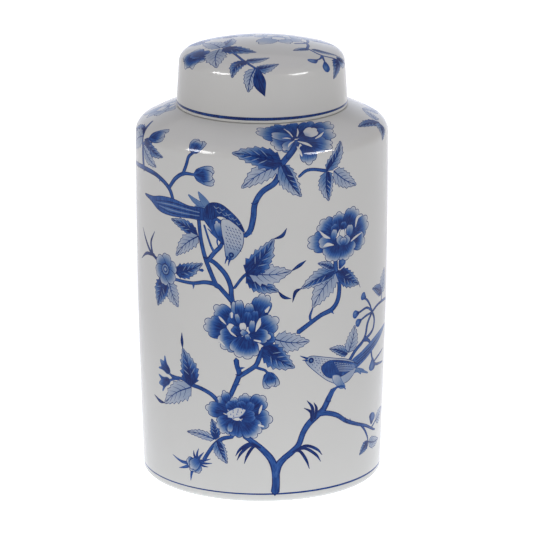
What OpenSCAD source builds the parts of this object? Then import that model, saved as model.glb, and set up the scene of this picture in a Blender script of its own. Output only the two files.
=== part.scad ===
// Lidded ceramic jar: a tall round jar with a short collar, and a domed cap
// lid that drops over the collar and rests on a flat seat round it.
// The jar stands on Z = 0 with its axis along +Z.

/* [Jar body] */
// Radius of the body at its widest, where the shoulder starts
body_r = 85; // [80:0.5:95]
// Radius of the wall just above the rounded foot
base_r = 81.3; // [78:0.1:84]
// How far the wall bulges outward at half its height
wall_bow = 1.1; // [0:0.1:3]
// Thickness of the wall and of the shoulder
wall_t = 5; // [3.5:0.5:7]
// Height at which the wall turns into the shoulder
shoulder_z = 237.6; // [225:0.1:239]
// Radius of the bend between wall and shoulder
shoulder_round = 10; // [8:0.5:12]
// How far that bend turns before the flatter crown takes over, in degrees
shoulder_turn = 61; // [58:1:64]

/* [Foot] */
// Outer radius of the ring that the jar stands on
foot_r = 74; // [70:0.5:77]
// Height of the rounded edge above the foot
foot_round_h = 5; // [4:0.1:9]
// Width of the standing ring
foot_ring_w = 6; // [4:0.5:10]
// Depth of the recess under the base
recess_d = 3; // [1:0.5:5]
// Thickness of the base
base_t = 6; // [4:0.5:9]

/* [Collar and seat] */
// Height of the flat seat that the lid rests on
seat_z = 256; // [254:0.5:258]
// Outer radius of the flat seat
seat_r = 58; // [57.5:0.5:60]
// Outer radius of the collar
collar_r = 50; // [44:0.5:50.5]
// Height of the collar above the seat
collar_h = 19; // [10:1:26]
// Thickness of the collar
collar_t = 4.5; // [3:0.5:6]

/* [Lid] */
// Outer radius of the lid at its rim
lid_r = 57.5; // [57:0.5:59]
// Outer radius of the lid where its side ends
lid_top_r = 55.8; // [55:0.1:58]
// Height of the lid's side above its rim
lid_side_h = 29; // [28:0.5:31]
// Height of the whole lid
lid_h = 44; // [42:0.5:48]
// Radius of the rounded edge between side and dome
lid_edge_r = 8.1; // [6.5:0.1:11]
// Thickness of the lid
lid_t = 4.5; // [3.5:0.5:4.5]
// Rounding of both edges of the lid's rim
rim_round = 1.2; // [0.5:0.1:1.5]

/* [Hidden] */
porcelain = "ghostwhite";

turn_fn = 180;                     // facets of a full turn in the preview
wall_steps = 8;                    // straight pieces along the wall
arc_steps = 10;                    // and along a quarter of an arc
inner_corner_r = 14;               // between the inner wall and the floor
throat_r = 5;                      // between the inner shoulder and the collar
recess_draft = 1.5;                // how much the recess narrows upward

// The shoulder is a bend of shoulder_round that runs on, without a corner,
// into a flatter arc, the crown, which ends at the seat's outer edge.
bend_c = [body_r - shoulder_round, shoulder_z];
inward = -[cos(shoulder_turn), sin(shoulder_turn)];
bend_end = bend_c - shoulder_round * inward;
to_seat = [seat_r, seat_z] - bend_end;
crown_r = to_seat * to_seat / (2 * to_seat * inward);
crown_c = bend_end + crown_r * inward;

floor_z = recess_d + base_t;
wall_foot_z = foot_round_h;
lid_z = seat_z;

// Points of an arc round c, from angle a0 to angle a1.
function arc(c, r, a0, a1, n = arc_steps) =
    [for (i = [0 : n]) let (a = a0 + (a1 - a0) * i / n)
        [c[0] + r * cos(a), c[1] + r * sin(a)]];

// Angle above the horizontal at which a circle of radius r round c is at height z.
function angle_at(c, r, z) = asin((z - c[1]) / r);

// Radius of the outer wall at height z: a straight taper with a shallow bulge.
function wall_r(z) =
    let (t = (z - wall_foot_z) / (shoulder_z - wall_foot_z))
    base_r + (body_r - base_r) * t + wall_bow * 4 * t * (1 - t);

function reversed(list) = [for (i = [len(list) - 1 : -1 : 0]) list[i]];

// The list without points that repeat the one before them.
function distinct(list) =
    [for (i = [0 : len(list) - 1])
        if (i == 0 || norm(list[i] - list[i - 1]) > 0.001) list[i]];

// The jar's outside, from the standing ring up to the lip of the collar.
function jar_outside() = concat(
    // rounded edge of the foot
    [for (i = [0 : arc_steps]) let (a = 90 * i / arc_steps)
        [foot_r + (base_r - foot_r) * sin(a), foot_round_h * (1 - cos(a))]],
    [for (i = [1 : wall_steps])
        let (z = wall_foot_z + (shoulder_z - wall_foot_z) * i / wall_steps)
        [wall_r(z), z]],
    arc(bend_c, shoulder_round, 0, shoulder_turn),
    arc(crown_c, crown_r, shoulder_turn, angle_at(crown_c, crown_r, seat_z)),
    // flat seat, then the collar with a full-round lip
    [[collar_r, seat_z]],
    arc([collar_r - collar_t / 2, seat_z + collar_h - collar_t / 2],
        collar_t / 2, 0, 180));

// The jar's inside, from the collar down to the middle of the floor.
function jar_inside() =
    let (bore_r = collar_r - collar_t,
         top_z = seat_z - wall_t,
         crown_inner_r = crown_r - wall_t)
    concat(
        arc([bore_r + throat_r, top_z + throat_r], throat_r, 180, 270),
        arc(crown_c, crown_inner_r, angle_at(crown_c, crown_inner_r, top_z),
            shoulder_turn),
        arc(bend_c, shoulder_round - wall_t, shoulder_turn, 0),
        [for (i = [1 : wall_steps])
            let (low = floor_z + inner_corner_r,
                 z = shoulder_z + (low - shoulder_z) * i / wall_steps)
            [wall_r(z) - wall_t, z]],
        arc([wall_r(floor_z + inner_corner_r) - wall_t - inner_corner_r,
             floor_z + inner_corner_r], inner_corner_r, 0, -90),
        [[0, floor_z]]);

// The underside, from the middle of the recess out to the standing ring.
function jar_underside() = [
    [0, recess_d],
    [foot_r - foot_ring_w - recess_draft, recess_d],
    [foot_r - foot_ring_w, 0]];

module jar() {
    color(porcelain)
    rotate_extrude($fn = turn_fn)
    polygon(distinct(concat(jar_outside(), jar_inside(), jar_underside())));
}

// The lid's outline at a depth under its outer surface, from the side's lower
// end up to the top of the dome. Side, edge and dome keep their centres, so
// the wall is equally thick all over.
function lid_shell(depth, low_z) =
    let (edge_c = [lid_top_r - lid_edge_r, lid_z + lid_side_h],
         top_z = lid_z + lid_h,
         drop = top_z - edge_c[1],
         dome_r = (drop * drop + edge_c[0] * edge_c[0]
                   - lid_edge_r * lid_edge_r) / (2 * (drop - lid_edge_r)),
         dome_c = [0, top_z - dome_r],
         meet = atan2(edge_c[1] - dome_c[1], edge_c[0]))
    concat(
        [[lid_r - depth, low_z]],
        arc(edge_c, lid_edge_r - depth, 0, meet),
        arc(dome_c, dome_r - depth, meet, 90));

module lid() {
    color(porcelain)
    rotate_extrude($fn = turn_fn)
    polygon(distinct(concat(
        // rounded rim, flat in the middle where it rests on the seat
        arc([lid_r - lid_t + rim_round, lid_z + rim_round],
            rim_round, 180, 270, 5),
        arc([lid_r - rim_round, lid_z + rim_round], rim_round, 270, 360, 5),
        lid_shell(0, lid_z + rim_round),
        reversed(lid_shell(lid_t, lid_z + rim_round)))));
}

jar();
lid();
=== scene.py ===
"""Looks of a lidded jar: white glazed ceramic, painted in cobalt blue under the glaze.

The jar and the lid are turned forms with the CAD model's own dimensions. The painting
on each is a list of flat marks, laid on the form and cut into its mesh, so that every
edge of a brush mark is an edge of the mesh. The strength of the blue is an attribute
of the mesh, which the glaze material turns into colour.
"""
import math

import bpy
import numpy as np
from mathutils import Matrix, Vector
from mathutils.geometry import delaunay_2d_cdt


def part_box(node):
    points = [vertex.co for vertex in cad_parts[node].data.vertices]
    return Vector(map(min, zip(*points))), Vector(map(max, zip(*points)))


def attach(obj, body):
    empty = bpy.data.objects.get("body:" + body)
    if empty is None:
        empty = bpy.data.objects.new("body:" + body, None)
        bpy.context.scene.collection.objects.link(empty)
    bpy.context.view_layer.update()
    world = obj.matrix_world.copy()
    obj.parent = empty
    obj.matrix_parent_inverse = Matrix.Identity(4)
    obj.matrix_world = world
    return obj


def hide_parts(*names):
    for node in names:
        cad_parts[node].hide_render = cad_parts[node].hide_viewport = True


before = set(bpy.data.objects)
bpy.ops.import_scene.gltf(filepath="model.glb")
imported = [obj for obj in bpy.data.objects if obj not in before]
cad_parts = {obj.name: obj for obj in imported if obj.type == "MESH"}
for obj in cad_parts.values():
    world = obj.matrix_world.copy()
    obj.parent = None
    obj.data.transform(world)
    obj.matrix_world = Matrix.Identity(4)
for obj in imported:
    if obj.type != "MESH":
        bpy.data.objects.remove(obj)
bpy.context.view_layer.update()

MM = 0.001
AROUND = 180          # vertices of a full turn


# ---------------------------------------------------------------------------
# Brushwork: every mark is a closed shape, painted over the ones before it
# ---------------------------------------------------------------------------

# How strong the blue is, from 0 for bare white glaze to 1 for the darkest line
BARE = 0.04
LINE = 0.9
STEM = 0.79
DEEP = 0.88
INK = 0.97
EDGE_W = 0.48          # width of the fine line round petals and leaves, mm
STROKE_EDGE_W = 0.3    # and round strokes that have one
CURVE_STEP = 1.4       # spacing of the points along a drawn curve, mm


def smooth(points, closed=False, step=CURVE_STEP):
    """Points about step apart on a smooth curve through the given points."""
    p = np.asarray(points, float)
    count = len(p) if closed else len(p) - 1
    if closed:
        p = np.vstack([p[-1:], p, p[:2]])
    else:
        p = np.vstack([2 * p[0] - p[1], p, 2 * p[-1] - p[-2]])
    out = []
    for a, b, c, d in zip(p[:count], p[1:], p[2:], p[3:]):
        n = max(1, int(round(np.linalg.norm((c - b)[:2]) / step)))
        t = (np.arange(n) / n)[:, None]
        out.append(b + 0.5 * t * (c - a + t * (2 * a - 5 * b + 4 * c - d + t * (3 * (b - c) + d - a))))
    if not closed:
        out.append(p[-2:-1])
    return np.vstack(out)


def sideways(p, closed):
    """Unit vectors to the left of the way along the points."""
    ahead = np.roll(p, -1, 0) - np.roll(p, 1, 0)
    if not closed:
        ahead[0] = p[1] - p[0]
        ahead[-1] = p[-1] - p[-2]
    ahead /= np.maximum(np.linalg.norm(ahead, axis=1), 1e-9)[:, None]
    return np.stack([-ahead[:, 1], ahead[:, 0]], 1)


def turns_left(p):
    """Whether the closed outline p runs anticlockwise."""
    x, y = p.T
    return np.sum(x * np.roll(y, -1) - np.roll(x, -1) * y) > 0


def outset(p, width):
    """The closed outline p moved outward by width."""
    return p - sideways(p, True) * (width if turns_left(p) else -width)


def fade(start, end, *stops):
    """A wash whose strength changes from start to end: stops are (how far, strength)."""
    start = np.asarray(start, float)
    way = np.asarray(end, float) - start
    far, strength = np.array(stops).T
    return lambda p: np.interp((p - start) @ way / (way @ way), far, strength)


def glow(centre, radius, *stops):
    """A wash whose strength changes with the distance from centre."""
    far, strength = np.array(stops).T
    return lambda p: np.interp(np.linalg.norm(p - centre, axis=1) / radius, far, strength)


class Painting:
    """The marks on one surface of revolution, in the order they are painted.

    A place on the surface is (x, h). x is the way round in mm, to the right from the
    middle of the front, where the surface is girth in radius; h is the way up in mm
    along the outline.
    """

    def __init__(self, girth, radius_at):
        self.girth = girth
        self.radius_at = radius_at
        self.marks = []

    def narrowing(self, h):
        return self.radius_at(h) / self.girth


class Pen:
    """Draws in mm on a flat patch that is laid on the painting, turned and sized."""

    def __init__(self, painting, anchor=None, matrix=np.eye(2), offset=(0.0, 0.0), size=1.0):
        self.painting = painting
        self.anchor = anchor
        self.matrix = matrix
        self.offset = np.asarray(offset, float)
        self.size = size

    def at(self, x, y, turn=0.0, size=1.0):
        """A pen for a motif at (x, y), turned anticlockwise by turn degrees."""
        c, s = math.cos(math.radians(turn)), math.sin(math.radians(turn))
        matrix = self.matrix @ np.array([[c, -s], [s, c]]) * size
        spot = self.matrix @ np.array([x, y]) + self.offset
        if self.anchor is None:
            return Pen(self.painting, spot, matrix, (0.0, 0.0), self.size * size)
        return Pen(self.painting, self.anchor, matrix, spot, self.size * size)

    def toward(self, base, tip):
        """A pen at base whose y axis points to tip, and the distance to tip."""
        way = np.asarray(tip, float) - base
        if self.anchor is None:
            way[0] *= self.painting.narrowing((self.matrix @ base + self.offset)[1])
        turn = math.degrees(math.atan2(-way[0], way[1]))
        return self.at(*base, turn), math.hypot(*way)

    def laid(self, p):
        """Points of the patch as places on the painting."""
        q = p @ self.matrix.T + self.offset
        if self.anchor is None:
            return q
        h = self.anchor[1] + q[:, 1]
        return np.stack([self.anchor[0] + q[:, 0] / self.painting.narrowing(h), h], 1)

    def lifted(self, q):
        """Places on the painting as points of the patch."""
        if self.anchor is not None:
            q = np.stack([(q[:, 0] - self.anchor[0]) * self.painting.narrowing(q[:, 1]),
                          q[:, 1] - self.anchor[1]], 1)
        return (q - self.offset) @ np.linalg.inv(self.matrix).T

    def mark(self, points, tone, grain=None):
        self.painting.marks.append((self, np.asarray(points, float), tone, grain))

    def area(self, points, tone, edge=LINE, grain=None):
        """A filled shape with a fine line round it."""
        if edge:
            self.mark(outset(points, EDGE_W / self.size), edge)
        self.mark(points, tone, grain)

    def blot(self, points, tone, edge=LINE):
        """A filled shape with a smooth outline through the points."""
        self.area(smooth(points, closed=True), tone, edge)

    def stroke(self, points, widths, tone=STEM, edge=None):
        """A brush stroke along a smooth curve; widths are at the given points."""
        points = np.asarray(points, float)
        widths = np.broadcast_to(np.asarray(widths, float), (len(points),))
        line = smooth(np.column_stack([points, widths]))
        middle, half = line[:, :2], np.maximum(line[:, 2:], 0.1) / 2
        squash = np.ones(2)
        if self.anchor is None:
            squash = np.array([self.painting.narrowing(middle[:, 1].mean()), 1.0])
        left = sideways(middle * squash, False) * half
        ahead = np.stack([left[:, 1], -left[:, 0]], 1)
        outline = np.vstack([middle + left / squash, [middle[-1] + ahead[-1] / squash],
                             (middle - left / squash)[::-1], [middle[0] - ahead[0] / squash]])
        run = np.concatenate([[0], np.cumsum(np.linalg.norm(np.diff(middle, axis=0), axis=1))])

        def along(p):
            near = np.argmin(((p[:, None] - middle[None]) ** 2).sum(2), axis=1)
            return np.stack([((p - middle[near]) * left[near]).sum(1) / half[near, 0], run[near]], 1)

        if edge:
            self.mark(outset(outline, STROKE_EDGE_W / self.size), edge)
        self.mark(outline, tone, along)


# ---------------------------------------------------------------------------
# Leaves
# ---------------------------------------------------------------------------

LEAF_BEND = 0.06       # how far the rib bows, over the leaf's length
TEETH = 7              # on each edge of a leaf
VEINS = 5              # on each side of its rib


def leaf_half_width(t):
    """Half the width of a leaf, over its greatest width, at t of its length."""
    return 1.37 * t ** 0.55 * (1 - t)


def leaf_side(t, length, width, side):
    """Points of a leaf's edge; side is -1 for the left, 1 for the right and 0 for the rib."""
    middle = LEAF_BEND * np.sin(np.pi * t) * length
    return np.stack([middle + side * width * leaf_half_width(t), t * length], 1)


def saw_edge(length, width, side):
    """A leaf's edge, with uneven teeth that point to the tip."""
    t = np.linspace(0.0, 1.0, 2 * TEETH + 1) ** 0.93
    t[1:-1:2] += 0.3 / TEETH
    p = leaf_side(t, length, width, side)
    uneven = 1 + 0.45 * np.sin(3.7 * np.arange(TEETH) + length + side)
    reach = side * width * np.sqrt(leaf_half_width(t))
    p[1:-1:2, 0] += 0.13 * reach[1:-1:2] * uneven
    p[2:-1:2, 0] -= 0.05 * reach[2:-1:2]
    return p


def leaf_wash(length, width, strong, weak, turn_at):
    """A wash that is strong at the base and the rib and weak towards the tip and the edges."""
    def wash(p):
        t = np.clip(p[:, 1] / length, 0.02, 0.98)
        out = np.abs(p[:, 0] - LEAF_BEND * np.sin(np.pi * t) * length) / (width * leaf_half_width(t))
        return np.interp(t + 0.4 * (out - 0.5), (turn_at - 0.3, turn_at + 0.3), (strong, weak))
    return wash


# How strong the wash of a leaf is near its base and near its tip, and where it turns
LEAF_LOOKS = {"dark": (0.92, 0.3, 0.62), "half": (0.6, 0.2, 0.45), "pale": (0.3, 0.19, 0.4)}


def leaf(pen, base, tip, width, look, flick=()):
    """A serrated leaf. The looks are dark, half (one half dark) and pale."""
    leaf_pen, length = pen.toward(base, tip)
    left = saw_edge(length, width, -1)
    right = saw_edge(length, width, 1)
    outline = np.vstack([left, right[-2:0:-1]])
    t = np.linspace(0.0, 0.97, 8)
    rib = leaf_side(t, length, 0.0, 0)
    leaf_pen.area(outline, leaf_wash(length, width, *LEAF_LOOKS[look]))
    if look != "pale":
        t = np.linspace(0.03, 0.9, 9)
        left_side = leaf_side(t, length, 0.8 * width, -1)
        down_the_rib = leaf_side(t, length, 0.0, 0)[::-1]
        leaf_pen.mark(np.vstack([left_side, down_the_rib]), leaf_wash(length, width, INK, 0.4, 0.72))
    for i in range(1, VEINS + 1):
        for side in (-1, 1):
            u = i / (VEINS + 1.4)
            start = leaf_side(np.array([u]), length, 0.0, side)[0]
            end = leaf_side(np.array([min(u + 0.2, 0.96)]), length, 0.8 * width, side)[0]
            sag = 0.5 * (start + end) + (0, -0.02 * length)
            dark = look == "dark" or (look == "half" and side < 0)
            if dark and i > 1:
                gap = np.array([0, -0.06 * length])
                leaf_pen.stroke([0.75 * start + 0.25 * end + gap, 0.3 * start + 0.7 * end + gap, end + gap],
                                [0.2, 0.7, 0.2], 0.42)
            leaf_pen.stroke([start, sag, end], [0.7, 0.5, 0.2] if dark else [0.4, 0.35, 0.15],
                            INK if dark else LINE)
    leaf_pen.stroke(rib, np.linspace(1.0, 0.3, len(rib)), LINE if look == "pale" else INK)
    if flick:
        pen.stroke([tip, *flick], [0.6] + [2.6] * (len(flick) - 1) + [0.4], INK)


def blade(pen, points, width, tone=STEM):
    """A plain pointed leaf or sepal: one stroke that swells and ends in a point."""
    n = len(points)
    swell = [width * math.sin(math.pi * (i + 0.35) / (n - 0.3)) for i in range(n)]
    swell[-1] = 0.2
    pen.stroke(points, swell, tone)


# ---------------------------------------------------------------------------
# Flowers
# ---------------------------------------------------------------------------

def petal_outline(length, width, lobes, open_angle):
    """A fan-shaped petal from its base at (0, 0) up to a lobed rim."""
    t = np.linspace(0.0, 1.0, 6 * lobes + 1)
    angle = np.radians(open_angle) * (2 * t - 1)
    scallop = 1 - 0.11 * (1 - np.abs(np.sin(np.pi * lobes * t)) ** 0.7)
    reach = (1 - 0.2 * (2 * t - 1) ** 2) * scallop
    x = np.sin(angle) * reach / math.sin(math.radians(open_angle)) * 0.5 * width
    y = (0.45 + 0.55 * np.cos(angle * 1.2)) * reach * length
    rim = np.stack([x, y], 1)
    low = rim[0] * (0.82, 0.45)
    return np.vstack([[(0, 0)], [low * (0.5, 0.45)], [low], rim, [low * (-1, 1)], [low * (-0.5, 0.45)]])


# The strength of a petal's wash from its base to its rim, as (how far, strength)
PETAL_LOOKS = {
    "deep": ((0, INK), (0.5, 0.9), (0.68, 0.68), (0.84, 0.26), (0.96, 0.06)),
    "soft": ((0, DEEP), (0.35, 0.7), (0.6, 0.48), (0.85, 0.22), (1, 0.08)),
    "faint": ((0, 0.55), (0.4, 0.42), (0.8, 0.2), (1, 0.08)),
    "full": ((0, INK), (0.6, 0.88), (0.85, 0.7), (1, 0.42)),
    "white": ((0, 0.3), (0.4, 0.06), (1, 0.04)),
}


def petal(pen, base, tip, width, lobes=3, look="deep"):
    """One petal with a lobed rim, in one of the looks above."""
    own, length = pen.toward(base, tip)
    outline = smooth(petal_outline(length, width, lobes, 62), closed=True, step=0.9)

    def rays(p):
        turn = np.arctan2(p[:, 0], p[:, 1] + 0.35 * length)
        return np.stack([turn * length, np.linalg.norm(p, axis=1)], 1)

    own.area(outline, glow((0, 0), length, *PETAL_LOOKS[look]), grain=rays)


def flower(pen, x, y, petals, slits=(), size=1.0):
    """A peony from its lists of petals and of slits."""
    own = pen.at(x, y, size=size)
    for base, tip, width, lobes, look in petals:
        petal(own, base, tip, width, lobes, look)
    for points, widths in slits:
        own.stroke(points, widths, BARE)


def cup(pen, base, tip, width):
    """A half-open flower seen from the side."""
    own, length = pen.toward(base, tip)
    petal(own, (0, 0), (-0.28 * width, 0.95 * length), 0.55 * width, 2, "soft")
    petal(own, (0, 0), (0.28 * width, 0.95 * length), 0.55 * width, 2, "soft")
    petal(own, (0, 0), (0, 0.9 * length), 0.62 * width, 2, "deep")
    blade(own, [(0, -0.5), (-0.14 * width, 0.25 * length), (-0.3 * width, 0.5 * length)], 1.8)
    blade(own, [(0, -0.5), (0.14 * width, 0.25 * length), (0.3 * width, 0.5 * length)], 1.8)


def bell(pen, base, tip, width):
    """A dark bell-shaped flower with three pointed lobes."""
    own, length = pen.toward(base, tip)
    outline = [(0, 0), (-0.3, 0.16), (-0.42, 0.5), (-0.75, 0.86), (-0.36, 0.72), (0, 1.0), (0.3, 0.72),
               (0.78, 0.84), (0.42, 0.5), (0.3, 0.16)]
    points = np.array(outline) * (0.62 * width, length)
    own.area(smooth(points, closed=True, step=1.0),
             fade((0, 0), (0, length), (0, INK), (0.6, DEEP), (1, 0.4)), edge=0.6)


def blossom(pen, x, y, radius):
    """A small open flower with six round petals and a ringed eye."""
    own = pen.at(x, y)
    for i in range(6):
        a = math.radians(60 * i + 20)
        tip = np.array([math.cos(a), math.sin(a)]) * radius
        petal(own, tip * 0.1, tip, radius * 1.05, 2, "soft")
    for r, tone in ((0.36, INK), (0.29, 0.45), (0.2, DEEP), (0.1, 0.3)):
        t = np.linspace(0, 2 * np.pi, 16, endpoint=False)
        own.mark(np.stack([np.cos(t), np.sin(t)], 1) * r * radius, tone)


def berry(pen, base, tip, width):
    """A pear-shaped bud at the end of a stalk."""
    own, length = pen.toward(base, tip)
    points = np.array([(0, 0), (-0.3, 0.35), (-0.5, 0.72), (-0.25, 1.0), (0.25, 1.0), (0.5, 0.72),
                       (0.3, 0.35)]) * (width, length)
    own.area(smooth(points, closed=True, step=0.9),
             glow((0.1 * width, 0.72 * length), length, (0, 0.4), (0.3, 0.7), (0.6, INK)), edge=0.75)


HANG = 5.5             # how far a blade of grass rises before it hangs over, mm


def tuft(pen, base, tips):
    """A fan of blades of grass that rise and then hang over."""
    base = np.array(base)
    for tip in tips:
        way = np.array(tip) - base
        pen.stroke([base, base + 0.4 * way + (0, HANG), base + 0.8 * way + (0, 0.7 * HANG), tip],
                   [0.9, 2.0, 2.0, 0.4], INK)


# ---------------------------------------------------------------------------
# The body's painting. Places are (x, h) in mm on the painted surface.
# ---------------------------------------------------------------------------

BRANCHES = [
    # trunk and its two limbs
    ([(9, 8.5), (9.5, 15), (9, 24), (6, 32), (0, 39), (-6, 44), (-12, 48)],
     [5.8, 5.2, 5.2, 4.6, 4, 3.6, 3]),
    ([(9.5, 20), (11, 27), (15, 32), (20, 36), (25, 41), (28, 49),
      (32, 55), (38, 60), (43, 64), (47, 71), (50, 76)],
     [4.6, 5, 4.2, 4.2, 4, 4, 4.4, 4.6, 4.4, 4.2, 3.6]),
    ([(40, 61), (46, 60.5), (54, 57.5), (62, 52), (72, 47.5), (84, 43), (94, 38), (99, 36)],
     [3.6, 3.4, 3.2, 2.8, 2.4, 2, 1.6, 1]),
    ([(78, 45), (83, 40), (87, 34), (88, 30)], [1.4, 1.6, 1.4, 1.2]),
    ([(92, 39), (97, 41), (101, 43)], [1.2, 1.2, 1]),
    # left of the lowest peony
    ([(-28, 69), (-34, 75), (-42, 78.5), (-50, 80), (-58, 82.5), (-67, 82)], [3.2, 2.8, 2.6, 2.6, 2, 1.6]),
    ([(-62, 82.5), (-68, 83), (-71, 85)], [1.6, 1.6, 1.6]),
    ([(-60, 82), (-67, 80), (-71, 77)], [1.4, 1.4, 1.4]),
    ([(-20, 47), (-27, 45), (-33, 40), (-38, 33), (-41, 28)], [2.4, 2.6, 2.4, 2.4, 2.6]),
    # from the lowest peony to the middle one
    ([(-21, 76), (-18.5, 82), (-16, 88), (-15, 92), (-16.5, 97), (-17, 101)], [3, 3.2, 3.4, 3.4, 3.2, 3.6]),
    ([(-15, 90), (-9, 94), (-4, 98), (-1.5, 104), (1, 110)], [3.2, 3, 3, 3, 2.8]),
    ([(-5, 97), (-1, 95.5), (2, 94.5), (4, 92)], [1.8, 1.8, 1.6, 1.4]),
    # above the middle peony
    ([(-19, 139), (-20, 146), (-20.5, 152), (-24, 160), (-31, 167), (-36, 169)],
     [3.2, 3.2, 3.2, 3.2, 3, 2.6]),
    ([(-19, 141), (-25, 147.5), (-30, 152), (-38, 153), (-48, 151), (-62, 151)], [3, 3, 3, 2.6, 2.2, 2]),
    ([(-30, 151), (-34, 160), (-38, 170), (-41, 182), (-42.5, 195)], [3.2, 3, 3, 2.8, 2.6]),
    ([(-36, 168), (-31.5, 174), (-27, 179), (-25.5, 184)], [3, 2.8, 2.6, 2]),
    ([(-38.5, 192), (-36.5, 186), (-34, 179), (-32, 175)], [1.2, 1.2, 1.4, 1.6]),
    ([(-18, 151), (-13, 158), (-9.5, 161.5)], [1.6, 1.8, 1.8]),
    # stalk of the peony on the right
    ([(50.5, 168), (51.5, 157), (54, 149), (53, 139), (48.5, 133), (40, 130), (31.5, 125), (24, 120)],
     [3.2, 3.4, 3.2, 3.4, 3.4, 3, 3, 3.2]),
    ([(33, 126), (32, 130), (34, 136)], [1.4, 1.6, 0.8]),
    # twigs round the perched bird
    ([(64, 94), (70, 100), (77, 104), (80.5, 108), (83, 116), (88.5, 122)], [2.6, 2.6, 2.4, 2.2, 2.2, 1.8]),
    ([(78, 105), (86, 107), (91, 110.5), (92, 117), (88, 123)], [2, 2, 2, 2, 1.8]),
    ([(79, 105), (85, 103), (88, 98), (90, 90), (95, 84), (103, 82), (113, 80.5)],
     [2.2, 2.2, 2, 1.8, 1.8, 1.6, 1]),
    ([(93, 86), (101, 88), (112, 90)], [1.2, 1.4, 0.8]),
    ([(88, 122), (98, 125), (112, 124.5), (124, 122), (131, 121)], [1.8, 1.6, 1.8, 1.8, 2]),
    ([(88, 122), (86, 127), (82, 132), (79, 134)], [1.6, 1.4, 1.4, 1.2]),
    ([(87, 124), (81, 127), (72, 125.5)], [1.4, 1.4, 1.2]),
    ([(87, 122), (81, 121.5), (75, 120)], [1.4, 1.4, 1.2]),
    ([(105, 125), (105.5, 132)], [1.6, 1.4]),
    # the upper stem, to the peony on the shoulder
    ([(-11, 187), (-7.5, 191), (-5.5, 200), (-4.5, 209), (0, 217),
      (8, 223), (11.5, 230), (13, 236), (21, 245), (25.5, 251)],
     [3, 3.6, 3.8, 3.6, 3.6, 3.8, 4, 4.2, 3.8, 3.2]),
    ([(24, 226.5), (28.5, 230), (34, 230.5), (43, 228.5)], [1.6, 2, 2, 2.2]),
    # the upper branch on the left
    ([(-131, 217), (-122, 217.5), (-110, 219), (-97, 220),
      (-82, 219.5), (-71.5, 216), (-66, 211.5), (-63.5, 206)],
     [2.4, 2.8, 3, 3.2, 3, 3, 3, 2.6]),
    ([(-67, 213), (-61, 220.5), (-54, 225), (-45.5, 225.5)], [2.4, 2.6, 2.4, 1.6]),
    ([(-55, 224), (-52, 231), (-50, 237), (-47, 240)], [2.2, 2.2, 2, 1.8]),
    ([(-98, 219), (-99.5, 228), (-100, 237), (-103, 245), (-109, 253)], [3.4, 3.4, 3.2, 2.8, 1.6]),
    ([(-99.5, 235), (-94, 239), (-88, 243)], [2, 2.4, 2]),
]

# Places and turns of the short thorns and of the dark knots on the branches
THORNS = [
    (-47, 151, -170), (-77, 219, 200), (-18.5, 83, -60), (-4.5, 209, -30), (-10, 188, -70), (-7, 192, 140),
    (47, 132, -120), (12, 230, -40), (-31, 175, -40), (-40, 161, 100), (67, 49, 30), (-15, 95, -60),
]
KNOTS = [
    (-4.5, 209, 10), (12, 233, -20), (51.5, 158, 5), (-37, 170, 10), (62, 52, -60), (-15, 91, 20),
    (-19.5, 141, 0), (46, 69, -30), (-110, 219, 90), (88, 122, 60),
]

# Leaves: base, tip, width, look and the points of the dark curled tip, if any
LEAVES = [
    ((-50, 79), (-56.5, 104), 13, "dark", (-57, 109), (-57, 115)),
    ((-50, 78), (-75, 61.5), 13, "pale", (-81, 61.5), (-88, 64)),
    ((-32, 44), (-34.5, 58), 6, "dark"),
    ((-33, 44), (-54, 46), 5, "pale"),
    ((-31, 43), (-24, 28), 8, "half"),
    ((-62, 156), (-40, 165.5), 9, "dark"),
    ((-68, 148), (-60, 132.5), 11, "pale"),
    ((-72, 148), (-80.5, 129), 12.5, "dark"),
    ((-43.5, 185), (-65, 192), 7.5, "dark"),
    ((-43, 184), (-61, 168), 9.5, "pale"),
    ((-10, 161), (10.5, 149), 11, "dark", (14, 145), (19, 143.5)),
    ((-9, 162), (19, 162.5), 13, "pale", (24.5, 166), (29, 169)),
    ((-10, 161), (7.5, 185), 13, "dark", (13, 187), (16, 192)),
    ((50.5, 157.5), (34, 136), 14, "pale"),
    ((50.5, 159), (26, 150), 10, "half", (22, 148), (20, 141)),
    ((53.5, 158), (72, 146), 10.5, "dark", (73.5, 143)),
    ((49, 161), (37.5, 166), 4.5, "half"),
    ((8, 116), (31.5, 113), 12, "pale"),
    ((1, 111), (21.5, 95.5), 14, "dark"),
    ((62, 99), (47, 105.5), 6, "half"),
    ((63, 100), (68.5, 117.5), 10, "pale"),
    ((105, 131.5), (111, 147), 14, "pale"),
    ((105, 131), (88.5, 138.5), 6.5, "dark"),
    ((88, 30), (77.5, 24), 6, "dark"),
    ((89, 30), (107, 27), 7, "pale"),
    ((100, 42), (114, 48), 8, "pale"),
    ((12.5, 235), (25.5, 213), 11, "half"),
    ((10.5, 235), (-13, 219.5), 11, "pale"),
    ((12.5, 236), (-19, 242.5), 13, "dark"),
    ((43.5, 228.5), (56.5, 247), 8, "half"),
    ((43.5, 228), (45, 208), 10, "half"),
    ((49, 227.5), (68, 215), 10, "pale"),
    ((-97, 239.5), (-73, 232.5), 7.5, "dark"),
    ((-98, 234), (-80.5, 224.5), 8, "pale"),
    ((-101, 243), (-125, 240), 7, "dark"),
    ((-101, 241), (-126, 227), 12, "pale"),
    ((116, 249), (88, 254.5), 6.5, "dark"),
    ((114, 248), (101, 238), 8, "half"),
    ((117, 251), (128, 262), 8, "pale"),
]

# Berries: base, tip and width
BERRIES = [
    ((80, 134), (75.5, 137), 5), ((73, 125.5), (67, 125), 5), ((75.5, 120), (70, 118), 5),
    ((91, 89), (91, 81), 9), ((92, 42), (94, 49), 9), ((54, 160), (57, 166), 5.5),
]

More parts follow.
